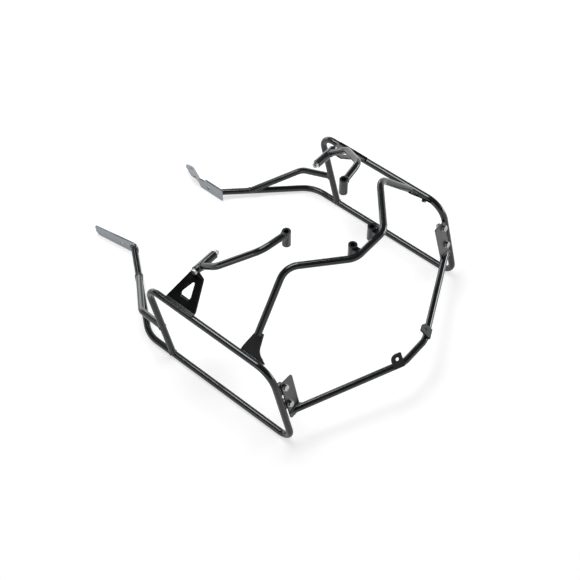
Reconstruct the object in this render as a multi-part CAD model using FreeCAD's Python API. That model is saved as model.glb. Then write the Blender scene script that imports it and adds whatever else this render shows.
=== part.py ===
import FreeCAD, Part
import math
import os

V = FreeCAD.Vector

# Side case carrier for a motorbike, in millimetres and degrees.
# X points forward, Y to the left and Z up. The rear strut's foot is at X = 0 while it is built,
# and the mid-plane is Y = 0. Right-hand pieces are built on the left and mirrored.

# Round tube that every bent piece is made of
TUBE_D = 16.0
TUBE_WALL = 2.0

# Side hoops that carry the cases: two rails and two leaning struts
HOOP_SPREAD = 617.0
RAIL_LENGTH = 367.0
RAIL_PITCH = 208.0
STRUT_LEAN = 60.0
FRONT_BEND_R = 28.0
REAR_TOP_BEND_R = 57.0
REAR_FOOT_BEND_R = 28.0

# Forward arms: each leaves its bottom rail at a corner and ends on a tab's outer face
ARM_CORNER_X = 447.0
ARM_BEND_R = 80.0
ARM_END_Z = 20.0
LEFT_ARM_END_X = 653.0
LEFT_ARM_END_Y = 148.0
RIGHT_ARM_END_X = 619.0
RIGHT_ARM_END_Y = 127.5

# Brace tubes between front strut and arm
BRACE_ROOT_Z = 90.0
BRACE_BEND_X = 476.0
BRACE_BEND_Y = 295.0
BRACE_BEND_Z = 66.0
BRACE_BEND_R = 35.0
BRACE_ARM_SHARE = 0.67
BRACE_WELD_GAP = 0.1

# Front tabs: upright strips, bolted to the motorbike
TAB_T = 4.0
TAB_FLOOR_GAP = 1.0
TAB_ROOT_H = 38.0
TAB_END_H = 29.0
TAB_HOLE_D = 9.0
TAB_REAR_TOP_R = 14.0
TAB_REAR_FOOT_R = 8.0
TAB_TIP_TOP_R = 2.0
TAB_TIP_FOOT_R = 14.0
LEFT_TAB_SPLAY = 8.0
LEFT_TAB_BACK = 11.0
LEFT_TAB_FRONT = 122.0
LEFT_TAB_HOLE = 41.0
RIGHT_TAB_BACK = 15.0
RIGHT_TAB_STEP = 46.0
RIGHT_TAB_STEP_R = 6.0
RIGHT_TAB_FLAT = 60.0
RIGHT_TAB_HOLE = 32.0
TWIST_LENGTH = 28.0
TWIST_ANGLE = 45.0
TWIST_SPLAY = 24.0
TWIST_SECTIONS = 5
TWIST_END = 44.0
TWIST_TIP_R = 9.0

# Sleeves: thick round spacers with a bolt bore
SLEEVE_D = 20.0
SLEEVE_BORE_D = 11.0
CROSS_SLEEVE_BORE_D = 8.6
CROSS_SLEEVE_X = 336.0
CROSS_SLEEVE_RISE = 53.0
CROSS_SLEEVE_LENGTH = 58.0
FRONT_SLEEVE_X = 196.0
FRONT_SLEEVE_Y = 97.5
FRONT_SLEEVE_BASE_Z = 347.0
FRONT_SLEEVE_H = 42.0
REAR_SLEEVE_Y = 33.0
REAR_SLEEVE_BASE_Z = 346.5
REAR_SLEEVE_H = 38.0

# Front brackets: one folded sheet each, foot on the top rail, web rising inward, ear on the sleeve
BRACKET_T = 3.0
BRACKET_FOLD_R = 4.0
BRACKET_FOOT_OUT = 2.0
BRACKET_FOOT_IN = 6.0
BRACKET_EAR_INSET = 72.0
BRACKET_WEB_RISE = 40.0
BRACKET_REAR_X = 285.0
BRACKET_FRONT_X = 368.0
BRACKET_EAR_R = 10.0
BRACKET_EAR_FLAT = 1.0
BRACKET_SHOULDER = 22.0
CUTOUT_BASE_RISE = 11.0
CUTOUT_TOP_RISE = 35.0
CUTOUT_FRONT_MARGIN = 22.0
CUTOUT_REAR_MARGIN = 26.0
CUTOUT_TOP_BACK = 8.0
CUTOUT_CORNER_R = 4.0

# Curved support tubes from cross sleeve to front sleeve
SUPPORT_ROOT_INSET = 14.0
SUPPORT_LOW_BEND_X = 286.0
SUPPORT_LOW_BEND_Y = 226.0
SUPPORT_LOW_BEND_Z = 319.0
SUPPORT_TOP_BEND_X = 206.0
SUPPORT_TOP_BEND_Y = 164.0
SUPPORT_TOP_DROP = 8.5
SUPPORT_BEND_R = 40.0

# Rear hoop tube over the motorbike's tail
REAR_HOOP_Z = 370.5
REAR_HOOP_FRONT_X = 145.0
REAR_HOOP_FRONT_Y = 162.0
REAR_HOOP_BACK_X = 47.0
REAR_HOOP_BACK_Y = 48.7
REAR_HOOP_BEND_R = 45.0
REAR_LUG_GAP = 3.0
REAR_LUG_W = 14.0
REAR_LUG_DROP = 5.0
REAR_LUG_RISE = 7.0

# Gusset plates between top rail and the rear hoop's legs, flush with the inner side of both tubes
PLATE_T = 4.0
GUSSET_X = 125.0
GUSSET_REACH = 57.0
GUSSET_TONGUE = 5.0
GUSSET_FOOT_RISE = 3.0
GUSSET_TOP_HALF = 10.5
GUSSET_FRONT_RUN = 25.5
GUSSET_FRONT_RISE = 17.0
GUSSET_FRONT_R = 25.5
GUSSET_FRONT_TOE = 27.5
GUSSET_REAR_RUN = 15.5
GUSSET_REAR_RISE = 21.0
GUSSET_REAR_R = 25.0
GUSSET_REAR_TOE = 38.0
GUSSET_TOE_H = 2.5

# Bosses on the inner face of the gussets' rear toes
BOSS_BACK = 22.0
BOSS_RISE = 7.0
BOSS_D = 12.0
BOSS_H = 3.0
BOSS_BOLT_D = 6.0
BOSS_BOLT_DEPTH = 2.5
BOSS_BOLT_HEAD_AF = 10.0
BOSS_BOLT_HEAD_H = 3.0

# Strut plates and crossbar end plates, measured along the rear strut and inward from its axis
STRUT_PLATE_LOW = 103.0
STRUT_PLATE_TOP = 174.0
STRUT_PLATE_IN = 31.0
STRUT_NOTCH_LOW = 121.0
STRUT_NOTCH_TOP = 147.0
STRUT_NOTCH_IN = 15.0
STRUT_NOTCH_R = 3.0
END_PLATE_LOW = 72.0
END_PLATE_TOP = 179.0
END_PLATE_OUT = 10.0
END_PLATE_LOW_IN = 42.0
END_PLATE_TOP_IN = 46.0
END_PLATE_CORNER_R = 3.0
END_PLATE_TOE_R = 14.0
PLATE_BOLT_IN = 17.6
PLATE_BOLT_ALONG = (114.5, 165.3)

# Crossbar tube behind the wheel, with its two lugs
CROSSBAR_JOINT_ALONG = 84.0
CROSSBAR_JOINT_IN = 29.0
CROSSBAR_CORNER_X = -97.5
CROSSBAR_CORNER_Y = 39.8
CROSSBAR_CORNER_Z = 107.5
CROSSBAR_BEND_R = 60.0
LUG_FROM_CORNER = 15.0
LUG_INNER = 12.5
LUG_OUTER = 14.5
LUG_BELOW = 4.0
LUG_ABOVE = 28.5
LUG_ROUND_R = 14.0
LUG_CORNER_R = 1.5
LUG_HOLE_D = 8.5
LUG_HOLE_ABOVE = 16.0

# Fasteners
BOLT_D = 8.0
BOLT_HEAD_AF = 13.0
BOLT_HEAD_H = 5.3
NUT_H = 6.5
HEXAGON_BEVEL = 30.0
WASHER_D = 16.0
WASHER_T = 1.6
BOLT_CLEARANCE = 0.6
BOLT_TAIL = 3.0

# How far a trimming body reaches past the cut that it makes
TRIM_REACH = 70.0

UP = V(0, 0, 1)
FORWARD = V(1, 0, 0)
OUTWARD = V(0, 1, 0)
INWARD = V(0, -1, 0)

hoop_y = HOOP_SPREAD / 2
rail_low_z = TUBE_D / 2
rail_top_z = rail_low_z + RAIL_PITCH
rail_crown_z = rail_top_z + TUBE_D / 2
bolt_hole_d = BOLT_D + BOLT_CLEARANCE


def unit(vector):
    """Copy of a vector, one long."""
    return V(vector).normalize()


def bent_path(points, radii):
    """Edges of straight runs through points, with a tangent arc of each radius at the inner points."""
    edges = []
    start = points[0]
    for before, corner, after, radius in zip(points, points[1:], points[2:], radii):
        back = unit(before - corner)
        ahead = unit(after - corner)
        half_turn = (math.pi - back.getAngle(ahead)) / 2
        reach = radius * math.tan(half_turn)
        entry = corner + back * reach
        leave = corner + ahead * reach
        edges.append(Part.LineSegment(start, entry).toShape())
        if radius:
            middle = corner + unit(back + ahead) * (radius / math.cos(half_turn) - radius)
            edges.append(Part.Arc(entry, middle, leave).toShape())
        start = leave
    edges.append(Part.LineSegment(start, points[-1]).toShape())
    return edges


def disc(centre, axis, diameter):
    """Round face about an axis."""
    return Part.Face(Part.Wire(Part.Circle(centre, axis, diameter / 2).toShape()))


def rectangle(centre, half_a, half_b):
    """Closed outline of a rectangle from its two half sides."""
    low = centre - half_a
    high = centre + half_a
    ring = [low - half_b, low + half_b, high + half_b, high - half_b]
    return Part.makePolygon(ring + ring[:1])


def swept(path, section_at):
    """Solid along a path of lines and arcs, from the flat section at each edge's start."""
    runs = []
    for edge in path:
        start = edge.valueAt(edge.FirstParameter)
        section = section_at(start, edge.tangentAt(edge.FirstParameter))
        if isinstance(edge.Curve, Part.Circle):
            turn = math.degrees(edge.LastParameter - edge.FirstParameter)
            runs.append(section.revolve(edge.Curve.Center, edge.Curve.Axis, turn))
        else:
            runs.append(section.extrude(edge.valueAt(edge.LastParameter) - start))
    if len(runs) == 1:
        return runs[0]
    return runs[0].multiFuse(runs[1:]).removeSplitter()


def rod(path):
    """Tube's outside as a full bar, to shape what is coped onto it."""

    def section_at(start, heading):
        return disc(start, heading, TUBE_D)

    return swept(path, section_at)


def tube(path):
    """Hollow tube along a path."""

    def section_at(start, heading):
        inside = disc(start, heading, TUBE_D - 2 * TUBE_WALL)
        return disc(start, heading, TUBE_D).cut(inside).Faces[0]

    return swept(path, section_at)


def rounded_face(corners, radii):
    """Flat face with the given corners, each rounded by its radius."""
    middle = (corners[-1] + corners[0]) * 0.5
    edges = bent_path([middle] + corners + [middle], radii)
    return Part.Face(Part.Wire(edges))


def plate(corners, radii, normal, thickness):
    """Flat plate whose outline lies in its middle plane."""
    direction = unit(normal)
    face = rounded_face(corners, radii)
    face.translate(direction * (-thickness / 2))
    return face.extrude(direction * thickness)


def bar(start, end, diameter):
    """Straight round bar between two points."""
    return disc(start, end - start, diameter).extrude(end - start)


def drilled(shape, centre, axis, diameter):
    """Shape with a through hole."""
    reach = unit(axis) * TRIM_REACH
    return shape.cut(bar(centre - reach, centre + reach, diameter))


def beyond(point, normal):
    """Trimming body that fills the near space past a plane."""
    return disc(point, normal, 2 * TRIM_REACH).extrude(unit(normal) * TRIM_REACH)


def sleeve(start, end, bore):
    """Round spacer with a bore."""
    return bar(start, end, SLEEVE_D).cut(bar(start, end, bore))


def hexagon(base, axis, across_flats, height):
    """Six-sided prism with its outer corners bevelled, standing on a base point."""
    direction = unit(axis)
    side = unit(direction.cross(UP if abs(direction.z) < 0.9 else FORWARD))
    other = direction.cross(side)
    radius = across_flats / math.sqrt(3)
    angles = [math.radians(60 * step) for step in range(6)]
    ring = [base + side * (radius * math.cos(a)) + other * (radius * math.sin(a)) for a in angles]
    prism = Part.Face(Part.makePolygon(ring + ring[:1])).extrude(direction * height)
    top = across_flats / 2
    spread = height / math.tan(math.radians(HEXAGON_BEVEL))
    bevel = Part.makeCone(top + spread, top, height, base, direction)
    return prism.common(bevel)


def washer(base, axis):
    """Flat washer standing on a base point."""
    direction = unit(axis)
    ring = bar(base, base + direction * WASHER_T, WASHER_D)
    return drilled(ring, base, direction, bolt_hole_d)


def bolted_stack(head_seat, nut_seat):
    """Bolt, two washers and nut that clamp what lies between two seats."""
    out = unit(head_seat - nut_seat)
    head_base = head_seat + out * WASHER_T
    nut_base = nut_seat - out * WASHER_T
    tail = nut_base - out * (NUT_H + BOLT_TAIL)
    head = hexagon(head_base, out, BOLT_HEAD_AF, BOLT_HEAD_H)
    bolt = head.fuse(bar(head_base, tail, BOLT_D)).removeSplitter()
    nut = drilled(hexagon(nut_base, out * -1, BOLT_HEAD_AF, NUT_H), nut_base, out, BOLT_D)
    washers = [washer(head_seat, out), washer(nut_seat, out * -1)]
    return bolt, washers, nut


def mirrored(shape):
    """Right-hand copy of a left-hand piece."""
    return shape.mirror(V(0, 0, 0), OUTWARD)


def both_sides(points):
    """Points of a left half, followed by the same ones on the right in reverse."""
    return points + [V(point.x, -point.y, point.z) for point in reversed(points)]


# Corners of the hoop's centreline, on the left
low_rear = V(0, hoop_y, rail_low_z)
low_front = V(RAIL_LENGTH, hoop_y, rail_low_z)
top_rear = V(STRUT_LEAN, hoop_y, rail_top_z)
top_front = V(RAIL_LENGTH + STRUT_LEAN, hoop_y, rail_top_z)
arm_corner = V(ARM_CORNER_X, hoop_y, rail_low_z)
top_rail_bar = bar(top_rear, top_front, TUBE_D)
strut_bar = bar(low_front, top_front, TUBE_D)
strut_middle = (top_front + low_front) * 0.5


def hoop_path(arm_end):
    """Centreline from past the arm's end to the middle of the front strut."""
    arm_past = arm_end + unit(arm_end - arm_corner) * TUBE_D
    points = [arm_past, arm_corner, low_rear, top_rear, top_front, strut_middle]
    return bent_path(points, [ARM_BEND_R, REAR_FOOT_BEND_R, REAR_TOP_BEND_R, FRONT_BEND_R])


def hoop_tube(arm_end, tab_inward):
    """Bent tube: arm, bottom rail, rear strut, top rail and front strut, whose foot sits on the rail."""
    long_run = tube(hoop_path(arm_end)).cut(beyond(arm_end, tab_inward))
    foot = tube(bent_path([strut_middle, low_front], [])).cut(bar(low_rear, arm_corner, TUBE_D))
    return long_run.fuse(foot).removeSplitter()


def brace_tube(arm_end):
    """Bent tube coped onto the front strut and onto the arm."""
    root_share = (BRACE_ROOT_Z - rail_low_z) / RAIL_PITCH
    root = low_front + (top_front - low_front) * root_share
    bend = V(BRACE_BEND_X, BRACE_BEND_Y, BRACE_BEND_Z)
    arm_spot = arm_corner + (arm_end - arm_corner) * BRACE_ARM_SHARE
    brace = tube(bent_path([root, bend, arm_spot], [BRACE_BEND_R]))
    return brace.cut(strut_bar).cut(bar(arm_corner, arm_end, TUBE_D + 2 * BRACE_WELD_GAP))


def tab_spot(arm_end, heading, along, height):
    """Point in the middle of a tab's thickness, from the arm's axis and the tab's lower edge."""
    across = heading.cross(UP)
    foot = V(arm_end.x, arm_end.y, TAB_FLOOR_GAP)
    return foot + heading * along + UP * height + across * (TAB_T / 2)


def left_tab(arm_end, heading):
    """Straight strip that narrows to a tip with a round foot, with one bolt hole."""

    def spot(along, height):
        return tab_spot(arm_end, heading, along, height)

    corners = [
        spot(-LEFT_TAB_BACK, 0),
        spot(LEFT_TAB_FRONT, 0),
        spot(LEFT_TAB_FRONT, TAB_END_H),
        spot(-LEFT_TAB_BACK, TAB_ROOT_H),
    ]
    across = heading.cross(UP)
    radii = [TAB_REAR_FOOT_R, TAB_TIP_FOOT_R, TAB_TIP_TOP_R, TAB_REAR_TOP_R]
    strip = plate(corners, radii, across, TAB_T)
    return drilled(strip, spot(LEFT_TAB_HOLE, TAB_END_H / 2), across, TAB_HOLE_D)


def right_tab(arm_end):
    """Strip with a stepped upper edge and an end that is twisted and splayed outward."""

    def spot(along, height):
        return tab_spot(arm_end, FORWARD, along, height)

    corners = [
        spot(-RIGHT_TAB_BACK, 0),
        spot(RIGHT_TAB_FLAT, 0),
        spot(RIGHT_TAB_FLAT, TAB_END_H),
        spot(RIGHT_TAB_STEP, TAB_END_H),
        spot(RIGHT_TAB_STEP, TAB_ROOT_H),
        spot(-RIGHT_TAB_BACK, TAB_ROOT_H),
    ]
    flat = plate(corners, [0, 0, 0, 0, RIGHT_TAB_STEP_R, 0], INWARD, TAB_T)
    flat = drilled(flat, spot(RIGHT_TAB_HOLE, TAB_END_H / 2), INWARD, TAB_HOLE_D)
    here = spot(RIGHT_TAB_FLAT, TAB_END_H / 2)
    sections = []
    for step in range(TWIST_SECTIONS):
        share = step / (TWIST_SECTIONS - 1)
        splay = math.radians(TWIST_SPLAY * share)
        lean = math.radians(TWIST_ANGLE * share)
        heading = V(math.cos(splay), math.sin(splay), 0)
        level = heading.cross(UP)
        rising = UP * math.cos(lean) + level * math.sin(lean)
        thin = rising.cross(heading)
        if step:
            here = here + heading * (TWIST_LENGTH / (TWIST_SECTIONS - 1))
        half_h = rising * (TAB_END_H / 2)
        half_t = thin * (TAB_T / 2)
        sections.append(rectangle(here, half_h, half_t))
    twist = Part.makeLoft(sections, True, False)
    tip = here + heading * TWIST_END
    end_corners = [here - half_h, tip - half_h, tip + half_h, here + half_h]
    end = plate(end_corners, [0, TWIST_TIP_R, TWIST_TIP_R, 0], thin, TAB_T)
    end = drilled(end, here + heading * (TWIST_END - TAB_END_H / 2), thin, TAB_HOLE_D)
    return flat.multiFuse([twist, end]).removeSplitter()


# Cross sleeve's axis and the bracket's ear that it stands against
cross_z = rail_crown_z + CROSS_SLEEVE_RISE
ear_in_y = hoop_y - BRACKET_EAR_INSET
cross_out = V(CROSS_SLEEVE_X, ear_in_y, cross_z)
cross_in = V(CROSS_SLEEVE_X, ear_in_y - CROSS_SLEEVE_LENGTH, cross_z)


def front_bracket():
    """Sheet folded twice: foot on the rail's crown, web with a triangular cut-out, ear with a bolt hole."""
    half = BRACKET_T / 2
    fold_y = hoop_y - BRACKET_FOOT_IN
    ear_y = ear_in_y + half
    web_top_z = rail_crown_z + BRACKET_WEB_RISE
    ear_top_z = cross_z + BRACKET_EAR_R
    line = [
        V(BRACKET_REAR_X, hoop_y + BRACKET_FOOT_OUT, rail_crown_z + half),
        V(BRACKET_REAR_X, fold_y, rail_crown_z + half),
        V(BRACKET_REAR_X, ear_y, web_top_z),
        V(BRACKET_REAR_X, ear_y, ear_top_z),
    ]
    half_run = FORWARD * ((BRACKET_FRONT_X - BRACKET_REAR_X) / 2)

    def section_at(start, heading):
        return Part.Face(rectangle(start + half_run, half_run, heading.cross(FORWARD) * half))

    sheet = swept(bent_path(line, [BRACKET_FOLD_R, BRACKET_FOLD_R]), section_at)
    foot_z = rail_crown_z + BRACKET_T
    outline = [
        V(BRACKET_REAR_X, 0, rail_crown_z),
        V(BRACKET_FRONT_X, 0, rail_crown_z),
        V(BRACKET_FRONT_X, 0, foot_z),
        V(CROSS_SLEEVE_X + BRACKET_EAR_R, 0, cross_z),
        V(CROSS_SLEEVE_X + BRACKET_EAR_R, 0, ear_top_z),
        V(CROSS_SLEEVE_X - BRACKET_EAR_R, 0, ear_top_z),
        V(CROSS_SLEEVE_X - BRACKET_EAR_R, 0, cross_z),
        V(CROSS_SLEEVE_X - BRACKET_SHOULDER, 0, web_top_z),
        V(BRACKET_REAR_X, 0, foot_z),
    ]
    ear_round = BRACKET_EAR_R - BRACKET_EAR_FLAT / 2
    outline_radii = [0, 0, 0, 0, ear_round, ear_round, 0, CUTOUT_CORNER_R, 0]
    cutout = [
        V(BRACKET_FRONT_X - CUTOUT_FRONT_MARGIN, 0, rail_crown_z + CUTOUT_BASE_RISE),
        V(CROSS_SLEEVE_X - CUTOUT_TOP_BACK, 0, rail_crown_z + CUTOUT_TOP_RISE),
        V(BRACKET_REAR_X + CUTOUT_REAR_MARGIN, 0, rail_crown_z + CUTOUT_BASE_RISE),
    ]
    reach = OUTWARD * (hoop_y + TRIM_REACH)
    sheet = sheet.common(rounded_face(outline, outline_radii).extrude(reach))
    sheet = sheet.cut(rounded_face(cutout, [CUTOUT_CORNER_R] * 3).extrude(reach))
    return drilled(sheet, cross_out, OUTWARD, bolt_hole_d)


# Front sleeve's axis, on the left
front_sleeve_base = V(FRONT_SLEEVE_X, FRONT_SLEEVE_Y, FRONT_SLEEVE_BASE_Z)
front_sleeve_top = front_sleeve_base + UP * FRONT_SLEEVE_H


def support_tube():
    """Bent tube coped onto the cross sleeve below and onto the front sleeve above."""
    top_z = front_sleeve_top.z - SUPPORT_TOP_DROP
    points = [
        cross_out + INWARD * SUPPORT_ROOT_INSET,
        V(SUPPORT_LOW_BEND_X, SUPPORT_LOW_BEND_Y, SUPPORT_LOW_BEND_Z),
        V(SUPPORT_TOP_BEND_X, SUPPORT_TOP_BEND_Y, top_z),
        V(FRONT_SLEEVE_X, FRONT_SLEEVE_Y, top_z),
    ]
    support = tube(bent_path(points, [SUPPORT_BEND_R, SUPPORT_BEND_R]))
    support = support.cut(bar(cross_in, cross_out, SLEEVE_D))
    return support.cut(bar(front_sleeve_base, front_sleeve_top, SLEEVE_D))


# Rear hoop's corners, on the left, and the foot of its leg on the rail's axis
hoop_front = V(REAR_HOOP_FRONT_X, REAR_HOOP_FRONT_Y, REAR_HOOP_Z)
hoop_back = V(REAR_HOOP_BACK_X, REAR_HOOP_BACK_Y, REAR_HOOP_Z)
leg_foot = V(GUSSET_X, hoop_y, rail_top_z)
leg_way = unit(hoop_front - leg_foot)
leg_end = leg_foot + leg_way * GUSSET_REACH
gusset_normal = unit(leg_way.cross(FORWARD))
gusset_ahead = gusset_normal.cross(leg_way)
gusset_depth = (TUBE_D - PLATE_T) / 2


def gusset():
    """Plate from the rail up into the notched end of the rear hoop's leg."""

    def spot(run, rise):
        return leg_foot + gusset_ahead * run + leg_way * rise - gusset_normal * gusset_depth

    toe_rise = GUSSET_FOOT_RISE + GUSSET_TOE_H
    corners = [
        spot(-GUSSET_TOP_HALF, GUSSET_REACH + GUSSET_TONGUE),
        spot(GUSSET_TOP_HALF, GUSSET_REACH + GUSSET_TONGUE),
        spot(GUSSET_TOP_HALF, GUSSET_REACH),
        spot(GUSSET_FRONT_RUN, GUSSET_FRONT_RISE),
        spot(GUSSET_FRONT_TOE, GUSSET_FOOT_RISE),
        spot(-GUSSET_REAR_TOE, GUSSET_FOOT_RISE),
        spot(-GUSSET_REAR_TOE, toe_rise),
        spot(-GUSSET_REAR_RUN, GUSSET_REAR_RISE),
    ]
    radii = [0, 0, 0, GUSSET_FRONT_R, 0, 0, 0, GUSSET_REAR_R]
    return plate(corners, radii, gusset_normal, PLATE_T).cut(top_rail_bar)


def rear_hoop_path():
    """Centreline of the rear hoop from the left leg's end to the right one's."""
    points = both_sides([leg_end, hoop_front, hoop_back])
    return bent_path(points, [REAR_HOOP_BEND_R] * 4)


# Rear sleeve's axis, on the left, a lug's length in front of the hoop's rear run
rear_sleeve_x = REAR_HOOP_BACK_X + TUBE_D / 2 + REAR_LUG_GAP + SLEEVE_D / 2
rear_sleeve_base = V(rear_sleeve_x, REAR_SLEEVE_Y, REAR_SLEEVE_BASE_Z)
rear_sleeve_top = rear_sleeve_base + UP * REAR_SLEEVE_H


def rear_sleeve_lug(hoop_bar):
    """Short block that holds a rear sleeve off the rear hoop."""
    corner = V(REAR_HOOP_BACK_X, REAR_SLEEVE_Y - REAR_LUG_W / 2, REAR_HOOP_Z - REAR_LUG_DROP)
    length = rear_sleeve_x - REAR_HOOP_BACK_X
    block = Part.makeBox(length, REAR_LUG_W, REAR_LUG_DROP + REAR_LUG_RISE, corner)
    return block.cut(hoop_bar).cut(bar(rear_sleeve_base, rear_sleeve_top, SLEEVE_D))


# Gusset boss and its bolt, on the left gusset's inner face
boss_way = gusset_normal * -1
boss_root = leg_foot - gusset_ahead * BOSS_BACK + leg_way * BOSS_RISE + boss_way * (TUBE_D / 2)
boss_face = boss_root + boss_way * BOSS_H


def gusset_boss():
    """Round boss with a short bolt hole."""
    boss = bar(boss_root, boss_face, BOSS_D)
    return boss.cut(bar(boss_face, boss_face - boss_way * BOSS_BOLT_DEPTH, BOSS_BOLT_D))


def boss_bolt():
    """Hexagon bolt that closes a gusset boss."""
    head = hexagon(boss_face, boss_way, BOSS_BOLT_HEAD_AF, BOSS_BOLT_HEAD_H)
    shank = bar(boss_face, boss_face - boss_way * BOSS_BOLT_DEPTH, BOSS_BOLT_D)
    return head.fuse(shank).removeSplitter()


# Rear strut's own directions: along it and out of its rear side, where two plates lie on each other
along_strut = unit(top_rear - low_rear)
behind_strut = along_strut.cross(OUTWARD)
strut_plate_behind = PLATE_T / 2
end_plate_behind = strut_plate_behind + PLATE_T


def strut_spot(along, inside, behind):
    """Point by its place along the rear strut, inside its axis and behind it."""
    return low_rear + along_strut * along + INWARD * inside + behind_strut * behind


def strut_plate():
    """Plate on the rear strut's inner side, with a notch between its two welded feet."""
    behind = strut_plate_behind
    corners = [
        strut_spot(STRUT_PLATE_LOW, 0, behind),
        strut_spot(STRUT_PLATE_LOW, STRUT_PLATE_IN, behind),
        strut_spot(STRUT_PLATE_TOP, STRUT_PLATE_IN, behind),
        strut_spot(STRUT_PLATE_TOP, 0, behind),
        strut_spot(STRUT_NOTCH_TOP, 0, behind),
        strut_spot(STRUT_NOTCH_TOP, STRUT_NOTCH_IN, behind),
        strut_spot(STRUT_NOTCH_LOW, STRUT_NOTCH_IN, behind),
        strut_spot(STRUT_NOTCH_LOW, 0, behind),
    ]
    notch_r = STRUT_NOTCH_R
    body = plate(corners, [0, notch_r, notch_r, 0, 0, notch_r, notch_r, 0], behind_strut, PLATE_T)
    body = body.cut(bar(low_rear, top_rear, TUBE_D))
    for along in PLATE_BOLT_ALONG:
        body = drilled(body, strut_spot(along, PLATE_BOLT_IN, behind), behind_strut, bolt_hole_d)
    return body


def end_plate():
    """Plate at the crossbar's end, bolted flat onto the strut plate's rear face."""
    behind = end_plate_behind
    corners = [
        strut_spot(END_PLATE_LOW, END_PLATE_OUT, behind),
        strut_spot(END_PLATE_LOW, END_PLATE_LOW_IN, behind),
        strut_spot(END_PLATE_TOP, END_PLATE_TOP_IN, behind),
        strut_spot(END_PLATE_TOP, END_PLATE_OUT, behind),
    ]
    radii = [END_PLATE_CORNER_R, END_PLATE_TOE_R, END_PLATE_CORNER_R, END_PLATE_CORNER_R]
    body = plate(corners, radii, behind_strut, PLATE_T)
    for along in PLATE_BOLT_ALONG:
        body = drilled(body, strut_spot(along, PLATE_BOLT_IN, behind), behind_strut, bolt_hole_d)
    return body


# Crossbar's corner and its joint on the end plate's rear face, on the left
crossbar_corner = V(CROSSBAR_CORNER_X, CROSSBAR_CORNER_Y, CROSSBAR_CORNER_Z)
crossbar_joint = strut_spot(CROSSBAR_JOINT_ALONG, CROSSBAR_JOINT_IN, 2 * PLATE_T)
crossbar_way = unit(crossbar_joint - crossbar_corner)


def crossbar_tube():
    """Bent tube with both ends cut along the end plates' rear faces."""
    past = crossbar_joint + crossbar_way * (2 * TUBE_D)
    body = tube(bent_path(both_sides([past, crossbar_corner]), [CROSSBAR_BEND_R] * 2))
    trim = beyond(crossbar_joint, behind_strut * -1)
    return body.cut(trim).cut(mirrored(trim))


def crossbar_lug():
    """Rounded plate with a hole, leaning forward on the crossbar's upper rear side."""
    rear = unit(V(-crossbar_way.y, crossbar_way.x, 0))
    rise = rear.cross(crossbar_way) * -1
    normal = unit(rear + rise)
    climb = unit(rise - rear)
    root = crossbar_corner + crossbar_way * LUG_FROM_CORNER + normal * ((TUBE_D + PLATE_T) / 2)

    def spot(along, above):
        return root + crossbar_way * along + climb * above

    corners = [
        spot(-LUG_INNER, -LUG_BELOW),
        spot(LUG_OUTER, -LUG_BELOW),
        spot(LUG_OUTER, LUG_ABOVE),
        spot(-LUG_INNER, LUG_ABOVE),
    ]
    body = plate(corners, [0, 0, LUG_ROUND_R, LUG_CORNER_R], normal, PLATE_T)
    return drilled(body, spot(0, LUG_HOLE_ABOVE), normal, LUG_HOLE_D)


# Both sides' arms and tabs differ; the rest is mirrored
splay = math.radians(LEFT_TAB_SPLAY)
left_heading = V(math.cos(splay), math.sin(splay), 0)
left_arm_end = V(LEFT_ARM_END_X, LEFT_ARM_END_Y, ARM_END_Z)
right_arm_end = V(RIGHT_ARM_END_X, RIGHT_ARM_END_Y, ARM_END_Z)

pieces = {
    "left_hoop_tube": hoop_tube(left_arm_end, left_heading.cross(UP)),
    "right_hoop_tube": mirrored(hoop_tube(right_arm_end, INWARD)),
    "left_brace_tube": brace_tube(left_arm_end),
    "right_brace_tube": mirrored(brace_tube(right_arm_end)),
    "left_front_tab": left_tab(left_arm_end, left_heading),
    "right_front_tab": mirrored(right_tab(right_arm_end)),
}

left_gusset = gusset()
rear_hoop_bar = rod(rear_hoop_path())
paired = {
    "front_bracket": front_bracket(),
    "cross_sleeve": sleeve(cross_in, cross_out, CROSS_SLEEVE_BORE_D),
    "support_tube": support_tube(),
    "front_sleeve": sleeve(front_sleeve_base, front_sleeve_top, SLEEVE_BORE_D),
    "gusset": left_gusset,
    "rear_sleeve": sleeve(rear_sleeve_base, rear_sleeve_top, SLEEVE_BORE_D),
    "rear_sleeve_lug": rear_sleeve_lug(rear_hoop_bar),
    "strut_plate": strut_plate(),
    "crossbar_end_plate": end_plate(),
    "crossbar_lug": crossbar_lug(),
}
for name, shape in paired.items():
    pieces["left_" + name] = shape
    pieces["right_" + name] = mirrored(shape)

pieces["rear_hoop_tube"] = tube(rear_hoop_path()).cut(left_gusset).cut(mirrored(left_gusset))
pieces["crossbar_tube"] = crossbar_tube()

bracket_bolt, bracket_washers, bracket_nut = bolted_stack(cross_out + OUTWARD * BRACKET_T, cross_in)
plate_stacks = []
for along in PLATE_BOLT_ALONG:
    head_seat = strut_spot(along, PLATE_BOLT_IN, 2 * PLATE_T)
    plate_stacks.append(bolted_stack(head_seat, strut_spot(along, PLATE_BOLT_IN, 0)))
grouped = {
    "bracket_bolts": [bracket_bolt],
    "bracket_washers": bracket_washers,
    "bracket_nuts": [bracket_nut],
    "plate_bolts": [stack[0] for stack in plate_stacks],
    "plate_washers": [ring for stack in plate_stacks for ring in stack[1]],
    "plate_nuts": [stack[2] for stack in plate_stacks],
    "gusset_bosses": [gusset_boss()],
    "boss_bolts": [boss_bolt()],
}
for name, shapes in grouped.items():
    pieces[name] = Part.makeCompound(shapes + [mirrored(shape) for shape in shapes])

# The finished rack stands with the middle of its base at the origin
whole = Part.makeCompound(list(pieces.values())).optimalBoundingBox()
to_middle = V(-(whole.XMin + whole.XMax) / 2, 0, 0)
os.makedirs("parts", exist_ok=True)
for name, shape in pieces.items():
    shape.translate(to_middle)
    shape.exportStep("parts/%s.step" % name)
    print(name, len(shape.Solids), shape.isValid(), round(shape.Volume))
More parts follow.
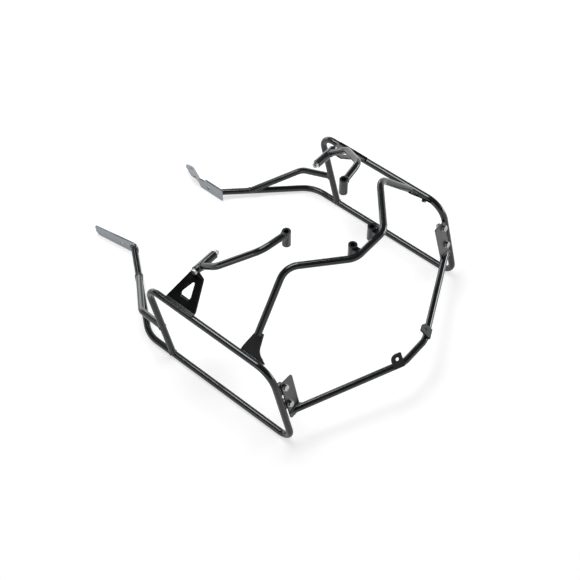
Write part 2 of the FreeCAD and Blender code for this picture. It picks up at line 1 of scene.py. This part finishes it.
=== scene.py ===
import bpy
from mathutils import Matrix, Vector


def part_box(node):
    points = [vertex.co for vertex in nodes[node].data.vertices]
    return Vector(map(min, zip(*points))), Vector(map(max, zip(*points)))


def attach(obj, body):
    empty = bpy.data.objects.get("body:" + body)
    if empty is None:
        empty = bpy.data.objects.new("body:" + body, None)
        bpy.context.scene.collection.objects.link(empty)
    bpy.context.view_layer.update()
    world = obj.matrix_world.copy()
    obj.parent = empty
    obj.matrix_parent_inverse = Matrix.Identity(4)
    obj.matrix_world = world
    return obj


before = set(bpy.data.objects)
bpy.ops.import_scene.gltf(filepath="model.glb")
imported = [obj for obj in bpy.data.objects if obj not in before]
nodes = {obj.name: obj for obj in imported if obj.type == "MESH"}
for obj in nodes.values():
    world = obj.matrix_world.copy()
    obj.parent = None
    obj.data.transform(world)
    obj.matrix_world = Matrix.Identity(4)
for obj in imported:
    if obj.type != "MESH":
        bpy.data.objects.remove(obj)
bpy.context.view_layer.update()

import math

import bpy
from mathutils import Vector


# Bent tubes: 16 mm steel tube, cold bent, coped and welded, then powder coated in satin black.
# The coat has a faint orange peel, slightly uneven gloss and a trace of dust on its upper faces.
sides = ("left_", "right_")
grain_sizes = {"Peel Size": 650.0, "Cloud Size": 14.0, "Dust Size": 90.0}
grain_details = {"Peel": 2.0, "Cloud": 5.0, "Dust": 6.0}
dust_slope = (0.55, 1.0)
dust_specks = (0.52, 0.78)
dust_tone = (0.075, 0.075, 0.072, 1)
dust_share = 0.22
cloud_span = (0.3, 0.7)
peel_height = 0.0003

coat_skin = bpy.data.node_groups.new("coat_skin", "ShaderNodeTree")
for label, size in grain_sizes.items():
    entry = coat_skin.interface.new_socket(label, in_out="INPUT", socket_type="NodeSocketFloat")
    entry.default_value = size
for label in grain_details:
    coat_skin.interface.new_socket(label, in_out="OUTPUT", socket_type="NodeSocketFloat")
skin = coat_skin.nodes
skin_in = skin.new("NodeGroupInput")
skin_out = skin.new("NodeGroupOutput")
skin_place = skin.new("ShaderNodeTexCoord")
grains = {}
for label, detail in grain_details.items():
    grains[label] = skin.new("ShaderNodeTexNoise")
    grains[label].inputs["Detail"].default_value = detail
    coat_skin.links.new(skin_place.outputs["Object"], grains[label].inputs["Vector"])
    coat_skin.links.new(skin_in.outputs[label + " Size"], grains[label].inputs["Scale"])
coat_skin.links.new(grains["Peel"].outputs["Fac"], skin_out.inputs["Peel"])
coat_skin.links.new(grains["Cloud"].outputs["Fac"], skin_out.inputs["Cloud"])
facing = skin.new("ShaderNodeNewGeometry")
facing_parts = skin.new("ShaderNodeSeparateXYZ")
coat_skin.links.new(facing.outputs["Normal"], facing_parts.inputs["Vector"])
settle = skin.new("ShaderNodeMapRange")
settle.inputs["From Min"].default_value = dust_slope[0]
settle.inputs["From Max"].default_value = dust_slope[1]
coat_skin.links.new(facing_parts.outputs["Z"], settle.inputs["Value"])
speck = skin.new("ShaderNodeMapRange")
speck.inputs["From Min"].default_value = dust_specks[0]
speck.inputs["From Max"].default_value = dust_specks[1]
coat_skin.links.new(grains["Dust"].outputs["Fac"], speck.inputs["Value"])
dusty = skin.new("ShaderNodeMath")
dusty.operation = "MULTIPLY"
coat_skin.links.new(settle.outputs["Result"], dusty.inputs[0])
coat_skin.links.new(speck.outputs["Result"], dusty.inputs[1])
coat_skin.links.new(dusty.outputs["Value"], skin_out.inputs["Dust"])


def coated_steel(name, deep, worn, gloss, dull, gleam, peel, metal=0.0):
    """Coat on steel: two shades, two roughnesses, reflectance, depth of its orange peel and metal share."""
    coat = bpy.data.materials.new(name)
    coat.use_nodes = True
    tree = coat.node_tree
    shader = tree.nodes["Principled BSDF"]
    shader.inputs["Metallic"].default_value = metal
    shader.inputs["Specular IOR Level"].default_value = gleam
    surface = tree.nodes.new("ShaderNodeGroup")
    surface.node_tree = coat_skin
    for label, size in grain_sizes.items():
        surface.inputs[label].default_value = size
    shade = tree.nodes.new("ShaderNodeMix")
    shade.data_type = "RGBA"
    shade.inputs["A"].default_value = (*deep, 1)
    shade.inputs["B"].default_value = (*worn, 1)
    tree.links.new(surface.outputs["Cloud"], shade.inputs["Factor"])
    film = tree.nodes.new("ShaderNodeMix")
    film.data_type = "RGBA"
    film.inputs["B"].default_value = dust_tone
    faint = tree.nodes.new("ShaderNodeMath")
    faint.operation = "MULTIPLY"
    faint.inputs[1].default_value = dust_share
    tree.links.new(surface.outputs["Dust"], faint.inputs[0])
    tree.links.new(faint.outputs["Value"], film.inputs["Factor"])
    tree.links.new(shade.outputs["Result"], film.inputs["A"])
    tree.links.new(film.outputs["Result"], shader.inputs["Base Color"])
    polish = tree.nodes.new("ShaderNodeMapRange")
    polish.inputs["From Min"].default_value = cloud_span[0]
    polish.inputs["From Max"].default_value = cloud_span[1]
    polish.inputs["To Min"].default_value = gloss
    polish.inputs["To Max"].default_value = dull
    tree.links.new(surface.outputs["Cloud"], polish.inputs["Value"])
    tree.links.new(polish.outputs["Result"], shader.inputs["Roughness"])
    bump = tree.nodes.new("ShaderNodeBump")
    bump.inputs["Strength"].default_value = peel
    bump.inputs["Distance"].default_value = peel_height
    tree.links.new(surface.outputs["Peel"], bump.inputs["Height"])
    tree.links.new(bump.outputs["Normal"], shader.inputs["Normal"])
    return coat


def dress(names, material):
    """Gives CAD nodes one finish."""
    for name in names:
        nodes[name].data.materials.clear()
        nodes[name].data.materials.append(material)


tube_black = coated_steel(
    "tube_black", deep=(0.009, 0.0105, 0.0115), worn=(0.016, 0.0185, 0.020),
    gloss=0.10, dull=0.16, gleam=0.5, peel=0.06)
tubes = [side + piece for side in sides for piece in ("hoop_tube", "brace_tube", "support_tube")]
dress(tubes + ["rear_hoop_tube", "crossbar_tube"], tube_black)


# Sleeves, sleeve lugs and gusset bosses: turned spacers and small cut blocks of steel, welded on.
# They are coated together with the tubes, and their lighter shade is painted light, a lit copy of the tube
# coat.
sleeve_painted_light_black = coated_steel(
    "sleeve_painted_light_black", deep=(0.016, 0.0185, 0.020), worn=(0.026, 0.030, 0.033),
    gloss=0.12, dull=0.19, gleam=0.65, peel=0.06)
turned = ("cross_sleeve", "front_sleeve", "rear_sleeve", "rear_sleeve_lug")
dress([side + piece for side in sides for piece in turned] + ["gusset_bosses"], sleeve_painted_light_black)


# Front brackets and gussets: laser-cut sheet steel, the brackets folded twice, welded to the tubes.
# Their coat is flatter and darker than the tubes', and cutting and coating have broken their edges.
plate_edge = 0.0005
plate_black = coated_steel(
    "plate_black", deep=(0.005, 0.005, 0.005), worn=(0.009, 0.009, 0.009),
    gloss=0.13, dull=0.19, gleam=0.25, peel=0.10)
sheet_pieces = [side + piece for side in sides for piece in ("front_bracket", "gusset")]
dress(sheet_pieces, plate_black)


def soften(names, width):
    """Breaks the sharp edges of CAD nodes, as cutting and coating do."""
    for name in names:
        edge = nodes[name].modifiers.new("soft_edges", "BEVEL")
        edge.width = width
        edge.segments = 2
        edge.limit_method = "ANGLE"
        edge.angle_limit = math.radians(40)
        edge.harden_normals = True


soften(sheet_pieces, plate_edge)


# Front tabs: strips of thicker plate, cut and drilled, welded to the ends of the forward arms.
# Their coat is a grey with metal flake, painted lighter and bluish as a reflection of the pale floor, so they
# are the palest finish on the rack.
tab_painted_reflection_grey = coated_steel(
    "tab_painted_reflection_grey", deep=(0.23, 0.25, 0.265), worn=(0.28, 0.30, 0.32),
    gloss=0.24, dull=0.36, gleam=0.5, peel=0.2, metal=0.9)
tab_pieces = [side + "front_tab" for side in sides]
dress(tab_pieces, tab_painted_reflection_grey)
soften(tab_pieces, plate_edge)


# Strut plates and crossbar end plates: cut plate, welded to the rear struts and to the crossbar's ends.
# The pairs are bolted face to face, and their dark grey coat has a broad sheen.
joint_black = coated_steel(
    "joint_black", deep=(0.020, 0.021, 0.022), worn=(0.036, 0.038, 0.040),
    gloss=0.24, dull=0.36, gleam=0.9, peel=0.2)
joint_pieces = [side + piece for side in sides for piece in ("strut_plate", "crossbar_end_plate")]
dress(joint_pieces, joint_black)
soften(joint_pieces, plate_edge)


# Crossbar lugs: two small drilled plates, welded to the back of the crossbar.
# The coat is dull here and takes no highlight.
lug_black = coated_steel(
    "lug_black", deep=(0.030, 0.031, 0.033), worn=(0.045, 0.047, 0.050),
    gloss=0.46, dull=0.58, gleam=0.2, peel=0.2)
lug_pieces = [side + "crossbar_lug" for side in sides]
dress(lug_pieces, lug_black)
soften(lug_pieces, plate_edge)


# Fasteners: zinc-plated hexagon bolts, washers and nuts through the cross sleeves, plates and bosses.
# The plating is bright, with a fine cloudy grain that also varies its gloss.
fastener_edge = 0.0003
spangle_size = 260.0
spangle_detail = 6.0
zinc_dark = (0.30, 0.31, 0.32, 1)
zinc_dark_at = 0.35
zinc_pale = (0.52, 0.51, 0.49, 1)
zinc_pale_at = 0.68
zinc_gloss = 0.14
zinc_dull = 0.30
zinc = bpy.data.materials.new("bright_zinc")
zinc.use_nodes = True
plating = zinc.node_tree
zinc_shader = plating.nodes["Principled BSDF"]
zinc_shader.inputs["Metallic"].default_value = 1.0
zinc_place = plating.nodes.new("ShaderNodeTexCoord")
spangle = plating.nodes.new("ShaderNodeTexNoise")
spangle.inputs["Scale"].default_value = spangle_size
spangle.inputs["Detail"].default_value = spangle_detail
plating.links.new(zinc_place.outputs["Object"], spangle.inputs["Vector"])
tint = plating.nodes.new("ShaderNodeValToRGB")
tint.color_ramp.elements[0].position = zinc_dark_at
tint.color_ramp.elements[0].color = zinc_dark
tint.color_ramp.elements[1].position = zinc_pale_at
tint.color_ramp.elements[1].color = zinc_pale
plating.links.new(spangle.outputs["Fac"], tint.inputs["Fac"])
plating.links.new(tint.outputs["Color"], zinc_shader.inputs["Base Color"])
rub = plating.nodes.new("ShaderNodeMapRange")
rub.inputs["To Min"].default_value = zinc_gloss
rub.inputs["To Max"].default_value = zinc_dull
plating.links.new(spangle.outputs["Fac"], rub.inputs["Value"])
plating.links.new(rub.outputs["Result"], zinc_shader.inputs["Roughness"])
hardware = ("bolts", "washers", "nuts")
fasteners = [joint + kind for joint in ("bracket_", "plate_") for kind in hardware] + ["boss_bolts"]
dress(fasteners, zinc)
soften(fasteners, fastener_edge)


# Weld seams: ripples of steel laid round every coped end and along every plate that is welded to a tube,
# coated over together with the tubes. Each side's seams are one mesh, drawn on the left, and the right
# side's are mirrored.
tube_r = 0.008
bead_r = 0.0022
bead_sides = 8
bead_tail = 0.5
ripple = 0.0022
ripple_steps = 5
ripple_depth = 0.07
ring_steps = 72
fewest_steps = 8
forward = Vector((1, 0, 0))
across = Vector((0, 1, 0))
straight_up = Vector((0, 0, 1))
line_outward = Vector((0.3, 0.5, 1.0))
cross_low, cross_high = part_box("left_cross_sleeve")
cross_axis = (cross_low + cross_high) / 2
cross_r = (cross_high.x - cross_low.x) / 2
cross_ahead = 0.336
strut_foot_x = cross_axis.x - cross_ahead
front_low, front_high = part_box("left_front_sleeve")
front_axis = (front_low + front_high) / 2
hoop_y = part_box("left_hoop_tube")[1].y - tube_r
top_rail_z = 0.216


def place(ahead, y, z):
    """Point by its distance ahead of the rear strut's foot."""
    return Vector((strut_foot_x + ahead, y, z))


low_rear = place(0.0, hoop_y, tube_r)
top_rear = place(0.060, hoop_y, top_rail_z)
low_front = place(0.367, hoop_y, tube_r)
top_front = place(0.427, hoop_y, top_rail_z)
arm_corner = place(0.447, hoop_y, tube_r)
up_strut = (top_rear - low_rear).normalized()
behind_strut = up_strut.cross(across)


def strut_spot(along, inside, behind):
    """Point by its place along the rear strut, inside its axis and behind it."""
    return low_rear + up_strut * along + Vector((0, -inside, 0)) + behind_strut * behind


bar_corner = place(-0.0975, 0.0398, 0.1075)
bar_end = strut_spot(along=0.084, inside=0.029, behind=0.008)


def tube_ring(start, way, side):
    """Points round the outside of a tube at its start."""
    other = way.cross(side)
    ring = []
    for turn in range(ring_steps):
        angle = 2 * math.pi * turn / ring_steps
        ring.append(start + tube_r * (side * math.cos(angle) + other * math.sin(angle)))
    return ring


def ring_on_round(start, end, around, axis, reach):
    """Seam round a tube that runs from start to end onto a round bar with a given axis and radius."""
    way = (end - start).normalized()
    axis = axis.normalized()
    slope = way - axis * way.dot(axis)
    steep = slope.dot(slope)
    seam = []
    for point in tube_ring(start, way, way.cross(axis).normalized()):
        spot = point - around
        flat = spot - axis * spot.dot(axis)
        near = flat.dot(slope)
        inside = max(near * near - steep * (flat.dot(flat) - reach * reach), 0.0)
        seam.append(spot + around + way * ((-near - math.sqrt(inside)) / steep))
    return seam, True


def ring_on_flat(start, end, normal):
    """Seam round a tube that runs from start onto a flat face through end."""
    way = (end - start).normalized()
    seam = []
    for spot in tube_ring(start, way, way.orthogonal().normalized()):
        seam.append(spot + way * ((end - spot).dot(normal) / way.dot(normal)))
    return seam, True


def tube_end_seams(arm_end, tab_normal):
    """Seams round the ends of the front strut, brace, support, forward arm and crossbar."""
    brace_height = 0.090
    brace_bend = place(0.476, 0.295, 0.066)
    brace_share = 0.67
    sleeve_inset = 0.086
    support_low = place(0.286, 0.226, 0.319)
    support_top = place(0.206, 0.164, 0.3805)
    brace_root = low_front.lerp(top_front, (brace_height - tube_r) / (top_rail_z - tube_r))
    brace_end = arm_corner.lerp(arm_end, brace_share)
    sleeve_root = Vector((cross_axis.x, hoop_y - sleeve_inset, cross_axis.z))
    support_end = Vector((front_axis.x, front_axis.y, support_top.z))
    return [
        ring_on_round(top_front, low_front, low_rear, low_front - low_rear, tube_r),
        ring_on_round(brace_bend, brace_root, low_front, top_front - low_front, tube_r),
        ring_on_round(brace_bend, brace_end, arm_corner, arm_end - arm_corner, tube_r),
        ring_on_round(support_low, sleeve_root, cross_axis, across, cross_r),
        ring_on_round(support_top, support_end, front_axis, straight_up, cross_r),
        ring_on_flat(arm_corner, arm_end, tab_normal),
        ring_on_flat(bar_corner, bar_end, behind_strut),
    ]


def strut_plate_seams():
    """Seams along both feet of the strut plate, on both of its faces."""
    plate_feet = ((0.104, 0.120), (0.148, 0.173))
    plate_faces = (0.0, 0.004)
    seams = []
    for foot in plate_feet:
        for face in plate_faces:
            reach = math.sqrt(tube_r ** 2 - face ** 2)
            seams.append(([strut_spot(along, reach, face) for along in foot], False))
    return seams


def gusset_seams():
    """Seams of the gusset, two on the rear hoop's leg and one along the top rail."""
    face = 0.004
    grip = 0.0069
    climb = (0.057, 0.062)
    rail_run = (-0.033, 0.022)
    leg_foot = place(0.125, hoop_y, top_rail_z)
    leg_top = place(0.145, 0.162, 0.3705)
    leg_way = (leg_top - leg_foot).normalized()
    outward = leg_way.cross(forward).normalized()
    along_rail = outward.cross(leg_way)
    seams = []
    for edge in (-grip, grip):
        leg_line = [leg_foot + leg_way * far + along_rail * edge - outward * face for far in climb]
        seams.append((leg_line, False))
    foot_rise = forward.cross(outward) * grip
    rail_line = [leg_foot + foot_rise - outward * face + forward * run for run in rail_run]
    seams.append((rail_line, False))
    return seams


def bracket_seams():
    """Seam of the front bracket's foot along the top rail's crown."""
    outside = 0.002
    crown = top_rail_z + tube_r
    foot_run = (0.287, 0.366)
    return [([place(ahead, hoop_y + outside, crown) for ahead in foot_run], False)]


def lug_seams():
    """Seams on both faces of the crossbar lug."""
    lug_middle = 0.015
    lug_run = (-0.0115, 0.0135)
    lug_faces = (-0.004, 0.003)
    bar_way = (bar_end - bar_corner).normalized()
    rear = Vector((-bar_way.y, bar_way.x, 0)).normalized()
    above = bar_way.cross(rear)
    lug_out = (rear + above).normalized()
    lug_climb = (above - rear).normalized()
    seams = []
    for face in lug_faces:
        sunk = math.sqrt(tube_r ** 2 - face ** 2)
        root = bar_corner + bar_way * lug_middle + lug_out * sunk + lug_climb * face
        seams.append(([root + bar_way * run for run in lug_run], False))
    return seams


def side_seams(arm_end, tab_normal):
    """All seams of one side, drawn on the left."""
    plate_seams = strut_plate_seams() + gusset_seams() + bracket_seams()
    return tube_end_seams(arm_end, tab_normal) + plate_seams + lug_seams()


def evenly(seam, closed, step):
    """Points of a seam at an even distance."""
    walk = seam + seam[:1] if closed else seam
    length = sum((there - here).length for here, there in zip(walk, walk[1:]))
    count = max(int(length / step), fewest_steps)
    spots = []
    done = 0.0
    for here, there in zip(walk, walk[1:]):
        gap = (there - here).length
        while len(spots) < count and len(spots) * length / count <= done + gap:
            spots.append(here.lerp(there, (len(spots) * length / count - done) / gap if gap else 0.0))
        done += gap
    return spots if closed else spots + [walk[-1]]


def weld_mesh(name, seams, flip):
    """Rippled beads along seams, mirrored across the mid-plane where flip is -1."""
    points = []
    faces = []
    for seam, closed in seams:
        spots = evenly(seam, closed, ripple / ripple_steps)
        last = len(spots) - 1
        hub = sum(spots, Vector()) / len(spots)
        first = len(points)
        for step, spot in enumerate(spots):
            after = spots[(step + 1) % len(spots)] if closed else spots[min(step + 1, last)]
            before = spots[step - 1] if closed else spots[max(step - 1, 0)]
            heading = (after - before).normalized()
            outward = spot - hub if closed else line_outward
            side = (outward - heading * outward.dot(heading)).normalized()
            other = heading.cross(side)
            swell = bead_r * (1 + ripple_depth * math.sin(2 * math.pi * step / ripple_steps))
            if not closed and step in (0, last):
                swell = bead_r * bead_tail
            for turn in range(bead_sides):
                angle = 2 * math.pi * turn / bead_sides
                corner = spot + swell * (side * math.cos(angle) + other * math.sin(angle))
                points.append((corner.x, corner.y * flip, corner.z))
        rows = len(spots) if closed else last
        for row in range(rows):
            here = first + row * bead_sides
            next_row = first + ((row + 1) % len(spots)) * bead_sides
            for turn in range(bead_sides):
                beside = (turn + 1) % bead_sides
                quad = (here + turn, here + beside, next_row + beside, next_row + turn)
                faces.append(quad if flip > 0 else quad[::-1])
        if not closed:
            start_cap = tuple(first + turn for turn in range(bead_sides))
            end_cap = tuple(first + rows * bead_sides + turn for turn in range(bead_sides))
            faces.append(start_cap[::-1] if flip > 0 else start_cap)
            faces.append(end_cap if flip > 0 else end_cap[::-1])
    mesh = bpy.data.meshes.new(name)
    mesh.from_pydata(points, [], faces)
    mesh.shade_smooth()
    piece = bpy.data.objects.new(name, mesh)
    bpy.context.scene.collection.objects.link(piece)
    return piece


tab_splay = math.radians(8)
left_tab_normal = Vector((math.sin(tab_splay), -math.cos(tab_splay), 0))
left_seams = side_seams(place(0.653, 0.148, 0.020), left_tab_normal)
right_seams = side_seams(place(0.619, 0.1275, 0.020), -across)
weld_black = coated_steel(
    "weld_black", deep=(0.006, 0.0065, 0.007), worn=(0.012, 0.013, 0.014),
    gloss=0.20, dull=0.32, gleam=0.9, peel=0.25)
for name, seams, flip in (("left_weld_seams", left_seams, 1), ("right_weld_seams", right_seams, -1)):
    welds = weld_mesh(name, seams, flip)
    welds.data.materials.append(weld_black)
    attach(welds, "root")


# Studio floor: a round sheet of pale paper that turns up into a low wall all round and keeps shadows.
# To the camera and in reflections it is lifted to white, most on the side that the panels light least
# and further out, where they hardly reach.
floor_reach = 4.0
cove_r = 1.6
cove_steps = 8
wall_top = 2.6
rim = 96
paper_tone = (0.58, 0.557, 0.55, 1)
paper_roughness = 0.9
near_reach = 1.2
rear_lift = 0.74
front_lift = 0.55
outskirts_from = 1.4
outskirts_to = 2.8
outskirts_lift = 0.95
stage_profile = [(floor_reach, 0.0)]
for step in range(1, cove_steps + 1):
    angle = math.radians(90 * step / cove_steps)
    stage_profile.append((floor_reach + cove_r * math.sin(angle), cove_r - cove_r * math.cos(angle)))
stage_profile.append((floor_reach + cove_r, wall_top))
stage_points = [(0.0, 0.0, 0.0)]
stage_faces = []
for out, up in stage_profile:
    for turn in range(rim):
        angle = 2 * math.pi * turn / rim
        stage_points.append((out * math.cos(angle), out * math.sin(angle), up))
for turn in range(rim):
    after = (turn + 1) % rim
    stage_faces.append((0, 1 + turn, 1 + after))
    for ring in range(len(stage_profile) - 1):
        inner = 1 + ring * rim
        outer = inner + rim
        stage_faces.append((inner + turn, outer + turn, outer + after, inner + after))
stage_mesh = bpy.data.meshes.new("studio_floor")
stage_mesh.from_pydata(stage_points, [], stage_faces)
stage_mesh.shade_smooth()
studio_floor = bpy.data.objects.new("studio_floor", stage_mesh)
bpy.context.scene.collection.objects.link(studio_floor)
paper = bpy.data.materials.new("pale_paper")
paper.use_nodes = True
paper_tree = paper.node_tree
paper_shader = paper_tree.nodes["Principled BSDF"]
paper_shader.inputs["Base Color"].default_value = paper_tone
paper_shader.inputs["Roughness"].default_value = paper_roughness
paper_shader.inputs["Specular IOR Level"].default_value = 0.0
paper_shader.inputs["Emission Color"].default_value = (1, 1, 1, 1)
ray = paper_tree.nodes.new("ShaderNodeLightPath")
seen = paper_tree.nodes.new("ShaderNodeMath")
seen.operation = "MAXIMUM"
paper_tree.links.new(ray.outputs["Is Camera Ray"], seen.inputs[0])
paper_tree.links.new(ray.outputs["Is Glossy Ray"], seen.inputs[1])
through = paper_tree.nodes.new("ShaderNodeMath")
through.operation = "MAXIMUM"
paper_tree.links.new(seen.outputs["Value"], through.inputs[0])
paper_tree.links.new(ray.outputs["Is Transmission Ray"], through.inputs[1])
paper_place = paper_tree.nodes.new("ShaderNodeTexCoord")
paper_run = paper_tree.nodes.new("ShaderNodeSeparateXYZ")
paper_tree.links.new(paper_place.outputs["Object"], paper_run.inputs["Vector"])
evened = paper_tree.nodes.new("ShaderNodeMapRange")
evened.inputs["From Min"].default_value = -near_reach
evened.inputs["From Max"].default_value = near_reach
evened.inputs["To Min"].default_value = rear_lift
evened.inputs["To Max"].default_value = front_lift
paper_tree.links.new(paper_run.outputs["X"], evened.inputs["Value"])
far_off = paper_tree.nodes.new("ShaderNodeVectorMath")
far_off.operation = "LENGTH"
paper_tree.links.new(paper_place.outputs["Object"], far_off.inputs[0])
outskirts = paper_tree.nodes.new("ShaderNodeMapRange")
outskirts.inputs["From Min"].default_value = outskirts_from
outskirts.inputs["From Max"].default_value = outskirts_to
paper_tree.links.new(far_off.outputs["Value"], outskirts.inputs["Value"])
level = paper_tree.nodes.new("ShaderNodeMix")
level.inputs["B"].default_value = outskirts_lift
paper_tree.links.new(outskirts.outputs["Result"], level.inputs["Factor"])
paper_tree.links.new(evened.outputs["Result"], level.inputs["A"])
lift = paper_tree.nodes.new("ShaderNodeMath")
lift.operation = "MULTIPLY"
paper_tree.links.new(through.outputs["Value"], lift.inputs[0])
paper_tree.links.new(level.outputs["Result"], lift.inputs[1])
paper_tree.links.new(lift.outputs["Value"], paper_shader.inputs["Emission Strength"])
studio_floor.data.materials.append(paper)


# Studio light: soft panels overhead, low on the left, low on the right and long and low ahead, with a
# small high one that the forward arms mirror. They are slightly cool and stand in a dim room.
panel_tint = (0.95, 0.988, 1.0)
room_tint = (0.95, 0.97, 1.0, 1)
room_glow = 0.05
rack_middle = (0.0, 0.0, 0.1)
left_arm = (0.25, 0.2, 0.0)
room = bpy.data.worlds.new("studio_room")
bpy.context.scene.world = room
room.use_nodes = True
room.node_tree.nodes["Background"].inputs["Color"].default_value = room_tint
room.node_tree.nodes["Background"].inputs["Strength"].default_value = room_glow


def soft_panel(name, stand, aim, width, depth, power):
    """Rectangular softbox that the camera doesn't see."""
    lamp = bpy.data.lights.new(name, "AREA")
    lamp.shape = "RECTANGLE"
    lamp.size = width
    lamp.size_y = depth
    lamp.energy = power
    lamp.color = panel_tint
    panel = bpy.data.objects.new(name, lamp)
    panel.location = stand
    panel.rotation_euler = (Vector(aim) - Vector(stand)).to_track_quat("-Z", "Y").to_euler()
    panel.visible_camera = False
    bpy.context.scene.collection.objects.link(panel)


soft_panel("overhead_panel", stand=(0.60, -0.03, 2.2), aim=rack_middle, width=1.5, depth=0.8, power=34.0)
soft_panel("left_panel", stand=(0.1, 2.9, 0.55), aim=rack_middle, width=1.4, depth=0.7, power=7.0)
soft_panel("right_panel", stand=(-1.55, -2.2, 0.5), aim=rack_middle, width=1.2, depth=0.8, power=28.0)
soft_panel("front_panel", stand=(2.6, -0.8, 0.7), aim=rack_middle, width=3.0, depth=1.0, power=26.0)
soft_panel("arm_panel", stand=(1.55, -0.30, 2.1), aim=left_arm, width=0.6, depth=0.5, power=5.0)


# Camera: behind the rack, to its left and above, with a moderate telephoto lens.
# Its place, turn and lens were solved from mirrored corners of the rack in the photo.
photo_width = 580.0
film_width = 36.0
focal_pixels = 1150.935
shift_pixels = (-0.5, 0.75)
look_down = 0.920556303
look_right = 0.870964792
aim_ahead = 0.27812202
aim_aside = -0.01352921
distance = 2.82348168
eye = bpy.data.cameras.new("camera")
eye.sensor_width = film_width
eye.lens = film_width * focal_pixels / photo_width
eye.shift_x = shift_pixels[0] / photo_width
eye.shift_y = shift_pixels[1] / photo_width
eye.clip_end = 50.0
level_share = math.cos(look_down)
look = Vector((level_share * math.cos(look_right), -level_share * math.sin(look_right), -math.sin(look_down)))
camera = bpy.data.objects.new("camera", eye)
camera.location = place(aim_ahead, aim_aside, 0.0) - look * distance
camera.rotation_euler = look.to_track_quat("-Z", "Y").to_euler()
bpy.context.scene.collection.objects.link(camera)
bpy.context.scene.camera = camera
bpy.context.scene.view_settings.view_transform = "Standard"
